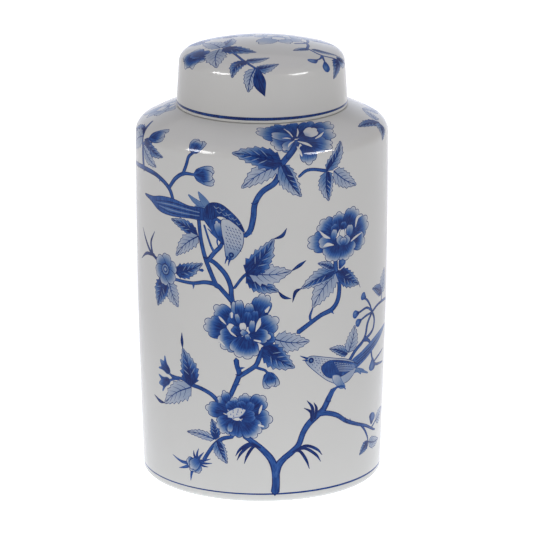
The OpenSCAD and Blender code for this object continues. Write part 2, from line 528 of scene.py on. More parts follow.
# Tufts of grass: base and tips
TUFTS = [
    ((-1, 40), [(-18, 33.5), (-17, 30.5), (-12, 28.5)]),
    ((21, 36), [(42.5, 31.5), (41.5, 27), (33, 23)]),
]

# Bare pointed shoots: points and widths
SHOOTS = [
    ([(34, 57), (33.5, 63), (28.5, 66.5)], [2, 2.2, 0.4]),
    ([(35, 57.5), (34.5, 66), (30.5, 71.5)], [2, 2.4, 0.4]),
    ([(36.5, 58.5), (37.5, 65), (35.5, 69.5)], [2, 2.2, 0.4]),
    ([(-78, 160), (-89, 164.5), (-96, 171), (-101, 178)], [2.4, 2.4, 2.2, 0.5]),
    ([(-86, 163), (-88, 171), (-83, 179.5)], [2.4, 2.2, 0.5]),
    ([(-84, 163), (-95, 161.5), (-105, 155.5)], [2.4, 2.2, 0.5]),
]

# Peonies. First the petals from the back to the front, as base, tip, width, lobes and look;
# then the white slits between them, as points and widths. All from the peony's own middle.
PEONY_LOW = [
    ((-3, 6), (-13, 12), 11, 3, "deep"), ((-4, 6), (-9, 17), 8, 3, "deep"),
    ((-1, 5), (-2, 13), 8, 2, "deep"), ((-6, 2), (-22, 4), 14, 3, "deep"),
    ((6, 5), (6, 16), 12, 3, "deep"), ((10, 5), (19, 14), 16, 3, "deep"),
    ((8, -2), (24, -2), 18, 3, "deep"), ((-2, -2), (-13, -11), 18, 4, "deep"),
    ((1, -3), (-1, -15), 19, 4, "full"), ((4, -3), (15, -13), 20, 4, "deep"),
    ((-1, 4), (-7, 9), 8, 2, "full"), ((5, 3), (2, 11), 8, 2, "full"), ((6, 2), (11, 10), 7, 2, "full"),
    ((2, -1), (13, 1), 11, 2, "full"), ((-4, -5), (-5, -12), 5, 2, "soft"),
]
SLITS_LOW = [
    ([(17, 8), (16, 5), (15, 2)], [0.6, 1.7, 0.4]), ([(15, -6), (18, -7)], [1.6, 1.2]),
    ([(-9, 1), (-5, 0)], [0.4, 1]), ([(-3, -2), (0, -3), (4, -2)], [0.3, 0.9, 0.3]),
]

PEONY_MIDDLE = [
    ((8, 8), (15, 26), 17, 4, "deep"), ((6, -2), (23, 9), 18, 3, "deep"),
    ((10, -7), (21, -3), 12, 2, "full"), ((-6, 5), (-20, 16), 16, 3, "deep"),
    ((-5, 6), (-6, 21), 7, 2, "soft"), ((-2, 6), (-3, 22), 8, 2, "deep"), ((4, 6), (4, 20), 8, 2, "deep"),
    ((-8, -1), (-28, 3), 20, 4, "deep"), ((-2, -3), (-17, -10), 22, 4, "deep"),
    ((2, -4), (-1, -19), 26, 4, "deep"), ((4, -2), (18, -4), 13, 3, "deep"),
    ((6, 3), (8, 15), 7, 2, "full"), ((2, 3), (3, 14), 7, 2, "full"), ((-2, 0), (-9, 12), 13, 3, "full"),
    ((-3, 5), (-5, 12), 4, 2, "soft"), ((-5, -1), (-11, 4), 7, 2, "white"),
    ((-1, -3), (-8, 2), 8, 2, "full"), ((0, 0), (-1, 6), 6, 2, "white"), ((5, -1), (6, 8), 5, 2, "soft"),
    ((3, -3), (-2, 0), 5, 2, "soft"), ((3, -6), (2, -2), 4, 2, "soft"),
]
SLITS_MIDDLE = [
    ([(-17, 9), (-15, 7), (-12, 4)], [0.4, 1.7, 0.4]), ([(-10, 0), (-8, -2), (-5, -4)], [0.4, 1.4, 0.4]),
    ([(11, 9), (10, 5), (8, 0)], [0.7, 2.8, 0.4]), ([(-8, 12), (-8, 9)], [1.8, 1.2]),
    ([(7, -6), (11, -7)], [0.8, 1.5]), ([(15, 14), (17, 17)], [2.4, 0.9]),
    ([(-22, -7), (-17, -8), (-13, -11)], [0.5, 1.6, 0.5]),
]

PEONY_RIGHT = [
    ((-5, 3), (-19, 11), 20, 4, "deep"), ((-3, 5), (-3, 17), 14, 3, "deep"),
    ((4, 5), (13, 17), 20, 4, "deep"), ((6, 0), (26, 6), 22, 4, "deep"),
    ((-5, -2), (-27, -1), 19, 4, "deep"), ((6, -3), (22, -8), 17, 3, "deep"),
    ((1, -4), (7, -16), 22, 4, "deep"), ((-4, -4), (-12, -15), 20, 3, "deep"),
    ((-8, -1), (-19, -3), 11, 2, "soft"), ((-4, 3), (-8, 9), 8, 2, "full"),
    ((1, 4), (1, 10), 7, 2, "full"), ((-8, -2), (-6, 6), 6, 2, "soft"), ((6, -1), (7, 7), 8, 2, "soft"),
    ((0, -3), (0, 5), 6, 2, "white"), ((1, -6), (-4, 0), 7, 2, "soft"), ((1, -6), (6, -1), 8, 2, "soft"),
    ((1, -6), (1, -1), 7, 2, "soft"),
]
SLITS_RIGHT = [
    ([(-18, 6), (-14, 2), (-10, 0)], [0.5, 2, 0.4]), ([(-15, -5), (-12, -4), (-7, -5)], [0.5, 2.6, 0.4]),
    ([(19, 11), (14, 10), (12, 4)], [0.4, 2.4, 0.4]), ([(8, -5), (12, -3), (19, -1)], [0.6, 1.5, 0.5]),
]

PEONY_SHOULDER = [
    ((-3, -2), (-13, 14), 18, 4, "full"), ((-2, -2), (2, 16), 16, 3, "full"),
    ((0, -2), (15, 14), 17, 3, "full"), ((-5, -2), (-26, 8), 20, 4, "deep"),
    ((4, 0), (30, 8), 18, 4, "deep"), ((-4, -3), (-20, -9), 19, 4, "deep"),
    ((0, -3), (28, -1), 20, 4, "deep"), ((-2, -4), (22, -12), 17, 4, "deep"),
    ((2, -8), (3, -23), 15, 3, "deep"), ((-4, -1), (-18, 3), 11, 2, "soft"),
    ((-4, -4), (-14, -12), 9, 3, "soft"), ((5, 0), (15, 6), 13, 3, "white"),
]
SLITS_SHOULDER = [
    ([(-4, -4), (-8, -7), (-10, -10)], [0.4, 1.3, 0.4]), ([(-2, -5), (3, -8), (6, -11)], [0.5, 2.4, 0.6]),
    ([(-4, 0), (-5, 5), (-7, 9)], [0.6, 1.1, 0.4]), ([(-1, 0), (1, 4), (2, 8)], [0.5, 1.1, 0.4]),
    ([(11, -4), (15, -2), (19, 1)], [0.6, 1.8, 0.5]), ([(-11, -1), (-8, -1), (-6, -2)], [0.4, 1.2, 0.4]),
    ([(-4, -10), (-3, -14), (-2, -17)], [0.6, 1.8, 0.6]),
]


def branches(pen, drawn):
    """Branches that grow together: all their dark edges first, then all that is between."""
    for points, widths in drawn:
        pen.stroke(points, np.array(widths) + 0.3, INK)
    for points, widths in drawn:
        pen.stroke(points, np.array(widths) * 0.72, STEM)


def stamens(pen, x, y, width, height, turn=0.0):
    """A pale heart full of small dark-ended threads."""
    own = pen.at(x, y, turn)
    t = np.linspace(0, 2 * np.pi, 14, endpoint=False)
    rim = np.stack([np.cos(t) * width / 2, np.sin(t) * height / 2], 1)
    own.area(rim * (1 + 0.08 * np.cos(5 * t))[:, None], 0.08, edge=0.7)
    for i in range(9):
        a = 2.4 * i
        out = math.sqrt((i + 0.6) / 9) * 0.42
        spot = np.array([math.cos(a) * width * out, math.sin(a) * height * out])
        own.stroke([spot, spot + (0.3, 0.9)], [0.7, 0.35], 0.7)


def thistle(pen, x, y):
    """A round bud with long curled sepals and a tuft of spikes."""
    own = pen.at(x, y)
    for tip, middle in [((-20, 2), (-11, -1)), ((-14, -6), (-8, -4)), ((-4, -13), (-3, -7))]:
        own.stroke([(0, 0), middle, tip], [3, 2.2, 0.4], STEM)
    for tip in [(-1, 9), (3, 11), (7, 9), (12, 5), (13, 2), (10, -1)]:
        own.stroke([(2, 2), (tip[0] * 0.55, tip[1] * 0.6), tip], [2.4, 1.8, 0.4], DEEP)
    for turn in (-65, -125, -185):
        way = math.radians(turn)
        petal(own, (0, 0), (7 * math.cos(way), 7 * math.sin(way)), 9, 3, "deep")
    petal(own, (3, 3), (-4, -4), 10, 3, "soft")


def perched_bird(pen):
    """A bird that sits facing left, beak open, tail up to the right."""
    tail = [(66, 93), (76, 97), (88, 101.5), (102, 105), (117, 106), (104, 100.5), (90, 95), (78, 90),
            (68, 87)]
    pen.blot(tail, fade((66, 90), (115, 101), (0, 0.72), (0.6, 0.62), (1, 0.5)), edge=0.7)
    for start, end in [((70, 93), (104, 103)), ((70, 91), (98, 99.5)), ((69, 89), (88, 95))]:
        pen.stroke([start, ((start[0] + end[0]) / 2, (start[1] + end[1]) / 2), end], [0.4, 0.9, 0.3], INK)
    for tip in [(84.5, 80.5), (79, 84), (76, 82)]:
        pen.stroke([(62, 86), (72, 85.5), tip], [3.2, 2.6, 0.6], 0.55, edge=0.75)
    body = [(29.5, 100.5), (33.5, 102.2), (41, 100.6), (50, 98.3), (61, 95.5), (69, 91.5), (70, 86),
            (63, 80), (55, 79.5), (46, 83.5), (39, 89), (33, 94.5), (30, 98)]
    pen.blot(body, fade((30, 100), (66, 84), (0, 0.3), (0.35, 0.13), (1, 0.26)))
    wing = [(41, 93.5), (46, 96.8), (54, 96), (64, 93), (72, 89), (64, 86.5), (56, 84.5), (48, 85),
            (43, 88.5)]
    pen.blot(wing, fade((41, 94), (72, 88), (0, 0.82), (0.5, 0.9), (1, 0.6)), edge=INK)
    for i in range(5):
        pen.stroke([(51 + i, 95 - 1.6 * i), (60 + i, 92.5 - 1.4 * i), (69 + 0.5 * i, 89.6 - 0.8 * i)],
                   [0.5, 0.6, 0.3], 0.3)
    thigh = [(50, 86), (55, 85), (58, 80), (60.5, 76.5), (56.5, 76), (53, 79), (50.5, 82)]
    pen.blot(thigh, fade((50, 86), (60, 76), (0, 0.12), (1, 0.6)), edge=0.62)
    for row in range(14):
        for i in range(3):
            spot = np.array([36 + 2.2 * row + 0.6 * i, 100.8 - 0.62 * row - 1.7 * i])
            pen.stroke([spot, spot + (0.9, -0.5)], [0.5, 0.25], LINE)
    for row in range(5):
        for i in range(3):
            spot = np.array([34 + 2 * row + 1.2 * i, 96.4 - 2.1 * row + 1.3 * i])
            pen.stroke([spot, spot + (0.5, -0.8)], [0.5, 0.25], LINE)
    pen.stroke([(30.5, 101), (27.5, 102.3), (25.3, 103.4)], [1.6, 1.1, 0.3], DEEP)
    pen.stroke([(30.5, 99.5), (28.5, 100), (27, 100.2)], [1.4, 1, 0.3], DEEP)
    eye(pen, 33.2, 99.3, 2)
    for tip in [(46, 73), (49, 72), (61, 74.5)]:
        pen.stroke([(57, 77.5), ((57 + tip[0]) / 2, 77), tip], [1.4, 1.4, 0.8], STEM)


def eye(pen, x, y, radius):
    """A bird's dark eye with a light spot in it."""
    t = np.linspace(0, 2 * np.pi, 12, endpoint=False)
    circle = np.stack([np.cos(t), np.sin(t)], 1)
    pen.mark(circle * radius + (x, y), INK)
    pen.mark(circle * radius * 0.4 + (x, y), 0.6)


def diving_bird(pen):
    """A bird that hangs head down, its long tail out to the left."""
    for tip, middle, w in [((-50, 211), (-44, 207), 3.4), ((-42.5, 214), (-39, 209), 4.6),
                           ((-45, 204), (-40, 203), 3)]:
        pen.stroke([(-34, 203), middle, tip], [w, w, 0.8], 0.5, edge=0.75)
    tail = [(-38, 203), (-50, 203.5), (-63, 206), (-75, 205.5), (-84, 203.5), (-96, 202.5), (-87, 200),
            (-77, 195.5), (-65, 194.5), (-50, 195.5), (-37, 196)]
    pen.blot(tail, fade((-38, 200), (-96, 202), (0, 0.86), (0.45, 0.72), (1, 0.8)), edge=INK)
    for i in range(5):
        start = (-42, 201.5 - 1.2 * i)
        middle = (-64, 203.5 - 1.8 * i)
        end = (-82 + 1.5 * i, 201.5 - 0.9 * i)
        pen.stroke([start, middle, end], [0.4, 0.8, 0.3], 0.42 if i % 2 else INK)
    belly = [(-39, 197), (-36, 201), (-30, 198), (-24, 194), (-22, 187), (-24.5, 180.5), (-28, 183),
             (-33, 189)]
    pen.blot(belly, fade((-37, 198), (-24, 182), (0, 0.9), (0.5, 0.75), (1, 0.92)), edge=INK)
    petal(pen, (-27, 185), (-30, 196), 6.5, 3, "soft")
    head = [(-26, 197), (-18, 196), (-13, 191), (-12, 185), (-13, 179), (-16, 174), (-19.5, 170.5),
            (-23, 171), (-24, 176), (-24.5, 182), (-26, 188)]
    pen.blot(head, fade((-20, 196), (-20, 171), (0, 0.14), (0.6, 0.2), (1, 0.5)))
    for row in range(8):
        for i in range(5):
            spot = np.array([-23.5 + 2.1 * i + 0.9 * (row % 2), 193 - 2 * row - 0.5 * i])
            pen.stroke([spot, spot + (0.9, -1)], [0.6, 0.25], LINE)
    back = [(-38, 198), (-38, 203), (-34, 207.5), (-27, 207.5), (-20, 202.5), (-14.5, 196.5),
            (-11.5, 189.5), (-16, 194), (-22, 198), (-28, 199.5), (-33, 197)]
    pen.blot(back, fade((-36, 200), (-12, 190), (0, 0.94), (0.6, 0.86), (1, 0.9)), edge=INK)
    for x, y in [(-30, 205), (-26, 204), (-22, 201), (-18, 198), (-15, 195), (-28, 202), (-24, 200.5),
                 (-20, 198.5)]:
        pen.stroke([(x - 1.6, y + 1), (x, y - 0.6), (x + 1.8, y + 0.4)], [0.3, 0.55, 0.3], 0.4)
    pen.stroke([(-20.5, 171.5), (-21.5, 168.5), (-22, 165.8)], [2, 1.2, 0.3], DEEP)
    pen.stroke([(-22.5, 172), (-23.5, 169.5), (-24.3, 167)], [1.8, 1.2, 0.3], DEEP)
    eye(pen, -20, 173.5, 1.9)
    for tip in [(-36, 190), (-34, 187.5), (-28, 177)]:
        middle = ((-29 + tip[0]) / 2 - 1, (184 + tip[1]) / 2 + 1)
        pen.stroke([(-29, 184), middle, tip], [1.4, 1.2, 0.6], STEM)


def paint_body(pen):
    """One side of the body: a tree with peonies, buds and two birds."""
    branches(pen, BRANCHES)
    for x, h, turn in THORNS:
        pen.at(x, h, turn).stroke([(0, 0), (0.3, 2.2), (0.9, 3.8)], [2.4, 1.4, 0.3], STEM)
    for x, h, turn in KNOTS:
        pen.at(x, h, turn).stroke([(-2.3, 0.8), (0, -0.4), (2.5, 0.9)], [0.6, 1.3, 0.7], INK)
    for base, tips in TUFTS:
        tuft(pen, base, tips)
    for points, widths in SHOOTS:
        pen.stroke(points, widths, INK)
    for base, tip, width, look, *flick in LEAVES:
        leaf(pen, base, tip, width, look, flick=flick)
    bell(pen, (-69, 84), (-79, 91), 13)
    bell(pen, (-69, 79), (-81, 74), 12)
    thistle(pen, -48, 24.5)
    cup(pen, (4, 93), (7, 81.5), 14)
    cup(pen, (-46, 225.5), (-30, 226), 17)
    cup(pen, (-47, 240), (-44.5, 251), 15)
    blossom(pen, -71.5, 156, 11.5)
    cup(pen, (-91, 242), (-76, 249.5), 15)
    for base, tip, width in BERRIES:
        berry(pen, base, tip, width)
    flower(pen, -17, 62, PEONY_LOW, SLITS_LOW)
    stamens(pen, -17.5, 64, 13, 6, 20)
    flower(pen, -12, 121.5, PEONY_MIDDLE, SLITS_MIDDLE)
    flower(pen, 56, 182, PEONY_RIGHT, SLITS_RIGHT)
    flower(pen, 28, 257, PEONY_SHOULDER, SLITS_SHOULDER)
    branches(pen, [([(17, 240.5), (21, 246), (25, 253)], [3.6, 3, 1.8])])
    perched_bird(pen)
    diving_bird(pen)


def ring_line(painting, h, width, tone, turn=0.0):
    """A level line round the form, drawn by hand on a wheel, so hardly uneven."""
    x = np.arange(AROUND) * 2 * math.pi * painting.girth / AROUND
    sway = np.sin(x / painting.girth + turn) * 0.12 + np.sin(3 * x / painting.girth) * 0.05
    thick = width * (1 + 0.2 * np.sin(2 * x / painting.girth + turn))
    pen = Pen(painting)
    pen.mark(np.stack([x, h - thick / 2 + sway], 1), tone)
    pen.mark(np.stack([x, h + thick / 2 + sway], 1), 0.0)


# ---------------------------------------------------------------------------
# The lid's painting. Places are as on the body, or as seen from above the dome.
# ---------------------------------------------------------------------------

class TopPen(Pen):
    """A pen on a patch whose middle is the top of the form, seen from above."""

    def at(self, x, y, turn=0.0, size=1.0):
        flat = super().at(x, y, turn, size)
        return TopPen(self.painting, self.anchor, flat.matrix, flat.offset, flat.size)

    def toward(self, base, tip):
        way = np.asarray(tip, float) - base
        turn = math.degrees(math.atan2(-way[0], way[1]))
        return self.at(*base, turn), math.hypot(*way)

    def laid(self, p):
        q = p @ self.matrix.T + self.offset
        return np.stack([np.arctan2(q[:, 0], -q[:, 1]) * self.painting.girth,
                         self.anchor[1] - np.hypot(*q.T)], 1)

    def lifted(self, q):
        reach = self.anchor[1] - q[:, 1]
        angle = q[:, 0] / self.painting.girth
        flat = np.stack([reach * np.sin(angle), -reach * np.cos(angle)], 1)
        return (flat - self.offset) @ np.linalg.inv(self.matrix).T


# The peony of the dome and the shoulder's left end, painted paler than the rest
PEONY_DOME = [
    ((0, 0), (-17, 8), 15, 3, "faint"), ((0, 0), (-8, 18), 16, 4, "faint"),
    ((0, 0), (8, 18), 16, 4, "faint"), ((0, 0), (17, 7), 15, 3, "faint"),
    ((0, 0), (17, -7), 13, 3, "faint"), ((0, 0), (7, -16), 13, 3, "faint"),
    ((-2, 0), (-12, -20), 17, 3, "faint"), ((0, 2), (-7, 9), 11, 3, "white"),
    ((0, 2), (7, 9), 11, 3, "white"), ((0, 2), (9, -1), 10, 2, "faint"),
    ((0, 2), (-10, -1), 10, 2, "faint"), ((0, 3), (0, -7), 12, 3, "white"),
    ((0, 3), (0, 8), 8, 2, "soft"),
]

LID_TWIGS = [
    ([(-50, 61), (-38, 58.5), (-28, 55), (-18, 49), (-10, 43), (-3, 37)], [1.2, 1.6, 1.8, 1.8, 1.6, 1.2]),
    ([(65, 57), (61.5, 50), (61, 45), (64, 40), (69, 35)], [1.8, 1.6, 1.6, 1.4, 1]),
    ([(61, 45), (54, 42.5), (48, 42)], [1.4, 1.2, 1]),
    ([(61, 45), (55, 40.5), (52.5, 37.5)], [1.4, 1.2, 1]),
]

LID_LEAVES = [
    ((-16, 48), (-22, 31), 8, "dark"),
    ((-14, 47.5), (4.5, 53), 6.5, "half"),
    ((-4, 37.5), (11.5, 43.5), 7.5, "half"),
    ((-5, 38), (-9.5, 22), 8, "pale"),
    ((66, 57), (46, 60.5), 5, "half"),
    ((69, 36), (57, 25), 8, "dark"),
    ((69, 36), (82, 30), 7, "half"),
    ((68, 55), (77, 38), 5, "half"),
]

# An open flower by its petals, as for the peonies
LID_FLOWER = [
    ((0, 0), (8, 7), 12, 2, "full"), ((0, 0), (-3, 9), 13, 3, "full"), ((0, 0), (-15, 4), 13, 3, "deep"),
    ((0, 0), (12, -4), 11, 3, "deep"), ((0, 0), (-13, -7), 13, 3, "deep"),
    ((0, 0), (7, -11), 12, 3, "deep"), ((0, 0), (-3, -13), 14, 3, "deep"),
    ((-2, 3), (-2, -5), 13, 2, "full"),
]


def paint_lid(painting, top):
    """The lid: a pale peony on the dome, twigs, leaves and flowers towards the side."""
    ring_line(painting, 3.8, 1.8, 0.93, 2.0)
    Pen(painting).stroke([(-25, 3.9), (-18, 3.7), (-11, 4.0)], [1.6, 1.9, 1.4], 1.0)
    half_turn = math.pi * painting.girth
    # the back first, as a mirrored copy of the front
    for away in (-1.0, 1.0):
        pen = Pen(painting)
        if away < 0:
            pen = Pen(painting, matrix=np.diag([-1.0, 1.0]), offset=(half_turn, 0.0))
        branches(pen, LID_TWIGS)
        for base, tip, width, look in LID_LEAVES:
            leaf(pen, base, tip, width, look)
        blade(pen, [(-3, 37), (-1.5, 28), (2, 19)], 8.5, 0.93)
        berry(pen, (49, 42), (41, 42), 6)
        berry(pen, (53, 38), (49.5, 31.5), 6)
        flower(pen, -63, 43, LID_FLOWER)
        dome = TopPen(painting, (0.0, top), np.diag([1.0, away]))
        leaf(dome, (-28.5, -16), (-30.5, -45), 14, "pale")
        leaf(dome, (-26, -15), (-4, -28.5), 12, "dark")
        branches(dome, [([(30, -14), (31, -6), (29, 1), (22, 6)], [1.8, 1.8, 1.8, 1.6])])
    leaf(dome, (-27, -14), (-20, 9), 9, "half")
    leaf(dome, (-28, -14), (-40, 9), 12, "pale")
    leaf(dome, (-6, 14), (-19, 24), 11, "pale")
    leaf(dome, (24, 16), (38, 20), 10, "pale")
    flower(dome, 11, 8, PEONY_DOME)


# ---------------------------------------------------------------------------
# Sections of the two turned forms, as (r, z) in mm, with the CAD model's sizes
# ---------------------------------------------------------------------------

JAR_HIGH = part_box("jar")[1] / MM
LID_LOW, LID_HIGH = (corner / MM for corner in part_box("lid"))

BODY_R = JAR_HIGH.x    # the wall at the shoulder
BASE_R = 81.3          # the wall just above the foot
FOOT_R = 74.0          # outside of the foot ring
FOOT_H = 5.0           # height of the curve from the foot ring to the wall
RING_W = 6.0           # width of the foot ring
RECESS = 3.0           # height of the underside within the ring
WALL_BOW = 1.1         # how far the wall stands out at half its height
WALL = 5.0             # thickness of the wall and the shoulder
SHOULDER_Z = 237.6     # top of the wall
BEND = 10.0            # radius of the shoulder's tighter arc
BEND_TURN = 61.0       # and its angle, degrees
SEAT_R = 58.0          # outside of the flat seat that the lid rests on
SEAT_Z = LID_LOW.z
COLLAR_R = 50.0
COLLAR_TOP = JAR_HIGH.z
COLLAR = 4.5           # thickness of the collar
THROAT = 5.0           # radius of the corner under the collar, inside
FLOOR_Z = 9.0          # the floor inside
FLOOR_ROUND = 14.0     # radius between the floor and the wall
LID_R = LID_HIGH.x     # the lid at its rim
LID_SIDE_R = 55.8      # the lid at the top of its side
LID_SIDE_Z = SEAT_Z + 29.0
LID_EDGE = 8.1         # radius between the side and the dome
LID_TOP = LID_HIGH.z
LID_WALL = 4.5         # thickness of the lid
LID_RIM = 1.2          # radius of the rounded rim
SAME = 1e-4           # points closer than this are one point


class Section:
    """A line to be turned round the axis. Its outer side is on the right of the way along."""

    def __init__(self):
        self.points = []
        self.normals = []

    def add(self, point, way):
        length = math.hypot(*way)
        normal = (way[1] / length, -way[0] / length)
        if self.points and math.dist(point, self.points[-1]) < SAME:
            if math.dist(normal, self.normals[-1]) < 0.2:
                return
        self.points.append(point)
        self.normals.append(normal)

    def line(self, *ends):
        for a, b in zip(ends, ends[1:]):
            way = (b[0] - a[0], b[1] - a[1])
            self.add(a, way)
            self.add(b, way)

    def curve(self, points):
        p = np.array(points, float)
        for spot, way in zip(p, np.gradient(p, axis=0)):
            self.add(tuple(spot), way)

    def arc(self, centre, radius, start, end, steps=8):
        turn = 1 if end > start else -1
        for a in np.radians(np.linspace(start, end, steps + 1)):
            self.add((centre[0] + radius * math.cos(a), centre[1] + radius * math.sin(a)),
                     (-turn * math.sin(a), turn * math.cos(a)))


def wall_r(z):
    """Radius of the jar's outer wall at height z."""
    t = (z - FOOT_H) / (SHOULDER_Z - FOOT_H)
    return BASE_R + (BODY_R - BASE_R) * t + WALL_BOW * 4 * t * (1 - t)


def crown():
    """Centre and radius of the flatter arc from the bend of the shoulder to the seat."""
    turn = math.radians(BEND_TURN)
    inward = -Vector((math.cos(turn), math.sin(turn)))
    bend_end = Vector((BODY_R - BEND, SHOULDER_Z)) - BEND * inward
    to_seat = Vector((SEAT_R, SEAT_Z)) - bend_end
    radius = to_seat.length_squared / (2 * to_seat.dot(inward))
    return bend_end + radius * inward, radius


def height_angle(centre, radius, z):
    return math.degrees(math.asin((z - centre[1]) / radius))


def jar_sections():
    """The underside, the painted outside, and the seat, collar and inside."""
    centre, radius = crown()
    under = Section()
    under.line((0, RECESS), (FOOT_R - RING_W - 1.5, RECESS), (FOOT_R - RING_W, 0), (FOOT_R, 0))
    outside = Section()
    outside.curve([(FOOT_R + (BASE_R - FOOT_R) * math.sin(a), FOOT_H * (1 - math.cos(a)))
                   for a in np.linspace(0, math.pi / 2, 9)])
    outside.curve([(wall_r(z), z) for z in np.linspace(FOOT_H, SHOULDER_Z, 40)])
    outside.arc((BODY_R - BEND, SHOULDER_Z), BEND, 0, BEND_TURN, 14)
    outside.arc(centre, radius, BEND_TURN, height_angle(centre, radius, SEAT_Z), 8)
    inside = Section()
    bore = COLLAR_R - COLLAR
    under_seat = SEAT_Z - WALL
    inside.line((SEAT_R, SEAT_Z), (COLLAR_R, SEAT_Z), (COLLAR_R, COLLAR_TOP - COLLAR / 2))
    inside.arc((COLLAR_R - COLLAR / 2, COLLAR_TOP - COLLAR / 2), COLLAR / 2, 0, 180, 12)
    inside.arc((bore + THROAT, under_seat + THROAT), THROAT, 180, 270)
    inside.arc(centre, radius - WALL, height_angle(centre, radius - WALL, under_seat), BEND_TURN)
    inside.arc((BODY_R - BEND, SHOULDER_Z), BEND - WALL, BEND_TURN, 0)
    low = FLOOR_Z + FLOOR_ROUND
    inside.curve([(wall_r(z) - WALL, z) for z in np.linspace(SHOULDER_Z, low, 20)])
    inside.arc((wall_r(low) - WALL - FLOOR_ROUND, low), FLOOR_ROUND, 0, -90)
    inside.line((wall_r(low) - WALL - FLOOR_ROUND, FLOOR_Z), (0, FLOOR_Z))
    return under, outside, inside


def lid_shell(section, depth, inward):
    """The lid's outline at a depth under its outer surface; inward runs it from the top down."""
    edge_c = (LID_SIDE_R - LID_EDGE, LID_SIDE_Z)
    drop = LID_TOP - LID_SIDE_Z
    radius = (drop ** 2 + edge_c[0] ** 2 - LID_EDGE ** 2) / (2 * (drop - LID_EDGE))
    meet = math.degrees(math.atan2(LID_SIDE_Z - LID_TOP + radius, edge_c[0]))
    foot = (LID_R - depth, SEAT_Z + LID_RIM)
    side_end = (edge_c[0] + LID_EDGE - depth, LID_SIDE_Z)
    if inward:
        section.arc((0, LID_TOP - radius), radius - depth, 90, meet, 16)
        section.arc(edge_c, LID_EDGE - depth, meet, 0)
        section.line(side_end, foot)
    else:
        section.curve([np.array(foot) + (np.array(side_end) - foot) * t for t in np.linspace(0, 1, 9)])
        section.arc(edge_c, LID_EDGE, 0, meet, 12)
        section.arc((0, LID_TOP - radius), radius, meet, 90, 24)


def lid_sections():
    """The inside with the rim, and the painted outside."""
    inside = Section()
    lid_shell(inside, LID_WALL, True)
    inside.arc((LID_R - LID_WALL + LID_RIM, SEAT_Z + LID_RIM), LID_RIM, 180, 270, 6)
    outside = Section()
    outside.arc((LID_R - LID_RIM, SEAT_Z + LID_RIM), LID_RIM, 270, 360, 6)
    inside.line(inside.points[-1], outside.points[0])
    lid_shell(outside, 0, False)
    return inside, outside


# ---------------------------------------------------------------------------
# Meshes: the painted outside is cut along the marks, the rest is a plain lathe
# ---------------------------------------------------------------------------

SEAM = 135            # the one of them, on the left, where the body's bake map is cut
WASH_GRID = 2.0       # spacing of the vertices inside a wash, mm
ROW_GAP = 0.8         # least height between two rings of vertices, mm
END_GAP = 0.3         # least distance of a mark from the ends of the painted outside, mm
FINE_STEP = 0.05      # step along the outline in working out the chart, mm
BARE_R = 50.5         # a face is bare clay if it is all beyond this radius, so the seat is glazed
LEVEL = 0.3           # and if it is all within this of the height at which its piece rests
UNPAINTED = -1        # the mark of a face under no mark


class Chart:
    """The painted outside of a turned form, flattened without shrinking any angle.

    The way up the outline becomes the distance from the middle of a disc, so the whole
    surface is one flat piece with no seam.
    """

    def __init__(self, section, girth, level):
        self.p = np.array(section.points)
        self.n = np.array(section.normals)
        self.girth = girth
        steps = np.linalg.norm(np.diff(self.p, axis=0), axis=1)
        self.h = np.concatenate([[0], np.cumsum(steps)])
        self.h += level - np.interp(level, self.p[:, 1], self.h) if level else 0
        fine = np.arange(self.h[0], self.h[-1], FINE_STEP)
        r = np.maximum(self.radius(fine), 1e-3)
        self.fine = np.append(fine, self.h[-1])
        self.log = np.concatenate([[0], np.cumsum(FINE_STEP / r)])

    def radius(self, h):
        return np.interp(h, self.h, self.p[:, 0])

    def height(self, h):
        return np.interp(h, self.h, self.p[:, 1])

    def flatten(self, q):
        angle = q[:, 0] / self.girth
        reach = np.exp(-np.interp(q[:, 1], self.fine, self.log))
        return np.stack([reach * np.sin(angle), -reach * np.cos(angle)], 1)

    def unflatten(self, v):
        x = np.arctan2(v[:, 0], -v[:, 1]) * self.girth
        h = np.interp(-np.log(np.maximum(np.hypot(*v.T), 1e-12)), self.log, self.fine)
        return np.stack([x, h], 1)

    def solid(self, q):
        angle = q[:, 0] / self.girth
        r = self.radius(q[:, 1])
        return np.stack([r * np.sin(angle), -r * np.cos(angle), self.height(q[:, 1])], 1)

    def outward(self, q):
        angle = q[:, 0] / self.girth
        nr = np.interp(q[:, 1], self.h, self.n[:, 0])
        nz = np.interp(q[:, 1], self.h, self.n[:, 1])
        normal = np.stack([nr * np.sin(angle), -nr * np.cos(angle), nz], 1)
        return normal / np.linalg.norm(normal, axis=1)[:, None]


def inside_outline(p, outline):
    """Which of the points p are inside a closed outline."""
    a, b = outline, np.roll(outline, -1, 0)
    x, y = p[:, :1], p[:, 1:]
    crosses = (a[:, 1] > y) != (b[:, 1] > y)
    rise = np.where(b[:, 1] == a[:, 1], 1e-12, b[:, 1] - a[:, 1])
    at = a[:, 0] + (y - a[:, 1]) * (b[:, 0] - a[:, 0]) / rise
    return (crosses & (x < at)).sum(1) % 2 == 1


def wash_points(outlines, marks, girth):
    """Extra vertices inside the marks whose strength changes from place to place."""
    found = set()
    turn = round(2 * math.pi * girth / WASH_GRID)
    step = 2 * math.pi * girth / turn
    for outline, mark in zip(outlines, marks):
        if not callable(mark[2]):
            continue
        low = np.floor(outline.min(0) / (step, WASH_GRID)).astype(int)
        high = np.ceil(outline.max(0) / (step, WASH_GRID)).astype(int)
        i, j = np.meshgrid(np.arange(low[0], high[0] + 1), np.arange(low[1], high[1] + 1))
        i, j = i.ravel(), j.ravel()
        spots = np.stack([(i + 0.5 * (j % 2)) * step, j * WASH_GRID], 1)
        keep = inside_outline(spots, outline)
        found.update(zip((i[keep] % turn).tolist(), j[keep].tolist()))
    found = np.array(sorted(found))
    return np.stack([(found[:, 0] + 0.5 * (found[:, 1] % 2)) * step, found[:, 1] * WASH_GRID], 1)


